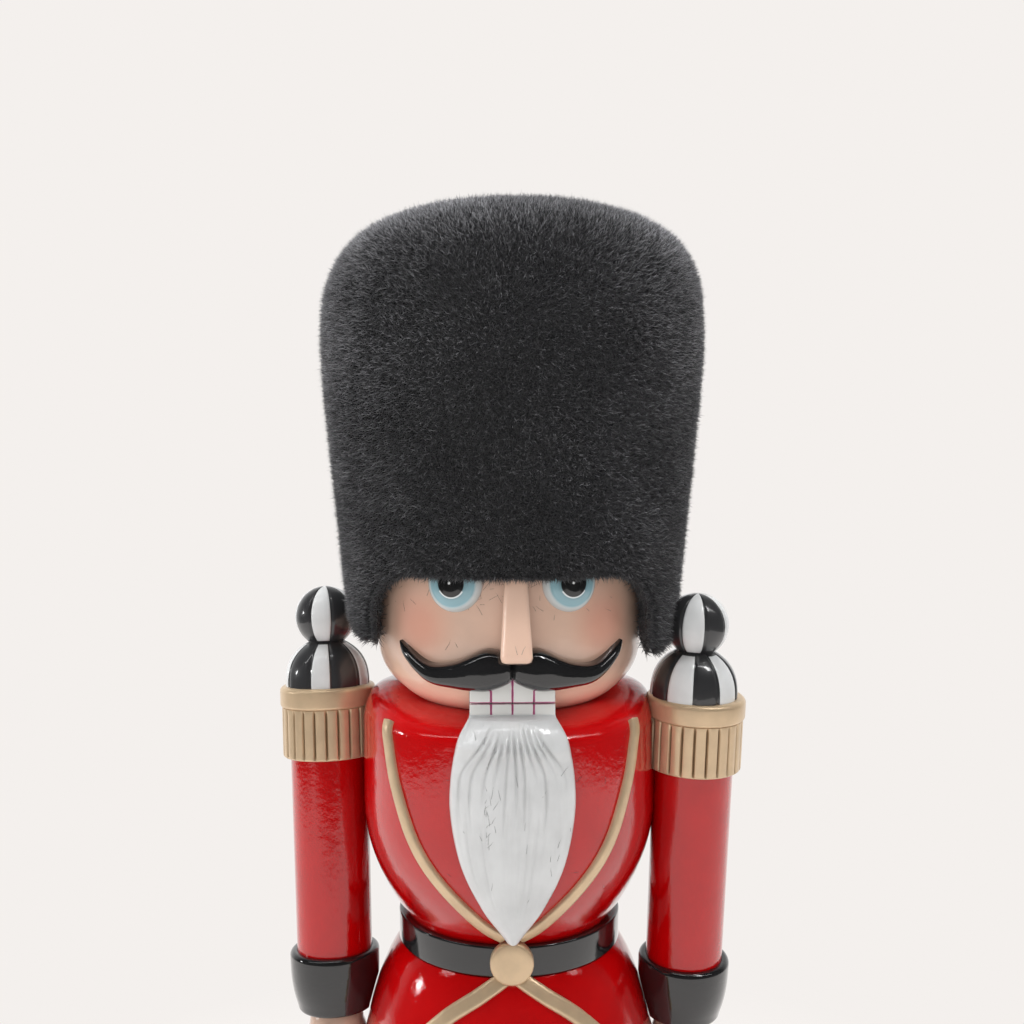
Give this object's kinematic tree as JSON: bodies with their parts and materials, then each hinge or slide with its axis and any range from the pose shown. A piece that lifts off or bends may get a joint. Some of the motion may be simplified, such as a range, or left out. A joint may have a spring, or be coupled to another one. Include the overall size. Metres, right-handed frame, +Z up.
{
  "type": "nutcracker soldier figure",
  "caption": "Free-standing nutcracker soldier of painted castings with a plush bearskin hat; lifting a lever at the back lowers the bearded jaw.",
  "frame": {"origin": "centre of the underside of the felt pad", "axes": "+Z up through the figure, the face looks along -Y, +X is the soldier's own left"},
  "size_m": [0.1546, 0.1263, 0.398],
  "materials": {
    "red_paint": "gloss",
    "skin_paint": "gloss",
    "gold_paint": "satin",
    "black_paint": "gloss",
    "white_paint": "gloss",
    "tooth_paint": "gloss",
    "eye_paint": "gloss",
    "black_fur": "matte",
    "wadding": "matte",
    "felt": "matte",
    "steel": "satin",
    "dowel_wood": "matte"
  },
  "bodies": {
    "figure": {"base_pad": "felt", "base": "black_paint", "left_boot": "black_paint", "right_boot": "black_paint", "left_leg": "white_paint", "right_leg": "white_paint", "left_leg_rod": "steel", "right_leg_rod": "steel", "coat_skirt": "red_paint", "torso": "red_paint", "waist_dowel": "dowel_wood", "belt": "black_paint", "belt_buckle": "gold_paint", "left_chest_cord": "gold_paint", "right_chest_cord": "gold_paint", "left_skirt_cord": "gold_paint", "right_skirt_cord": "gold_paint", "neck_dowel": "dowel_wood", "head": "skin_paint", "nose": "skin_paint", "left_eye": "eye_paint", "right_eye": "eye_paint", "moustache": "black_paint", "upper_teeth": "tooth_paint", "hat_core": "wadding", "fur_hat": "black_fur", "jaw_pin": "steel", "left_shoulder_cap": "gold_paint", "right_shoulder_cap": "gold_paint", "left_finial": "white_paint", "right_finial": "white_paint", "left_sleeve": "red_paint", "right_sleeve": "red_paint", "left_cuff": "black_paint", "right_cuff": "black_paint", "left_hand": "skin_paint", "right_hand": "skin_paint", "left_arm_dowel": "dowel_wood", "right_arm_dowel": "dowel_wood"},
    "jaw": {"jaw_lever": "red_paint", "lower_teeth": "tooth_paint", "beard": "white_paint"}
  },
  "joints": [
    {"name": "jaw_hinge", "type": "hinge", "parent": "figure", "child": "jaw", "pos_m": [0, 0, 0.195], "axis": [1, 0, 0], "range_deg": [0, 12]}
  ]
}
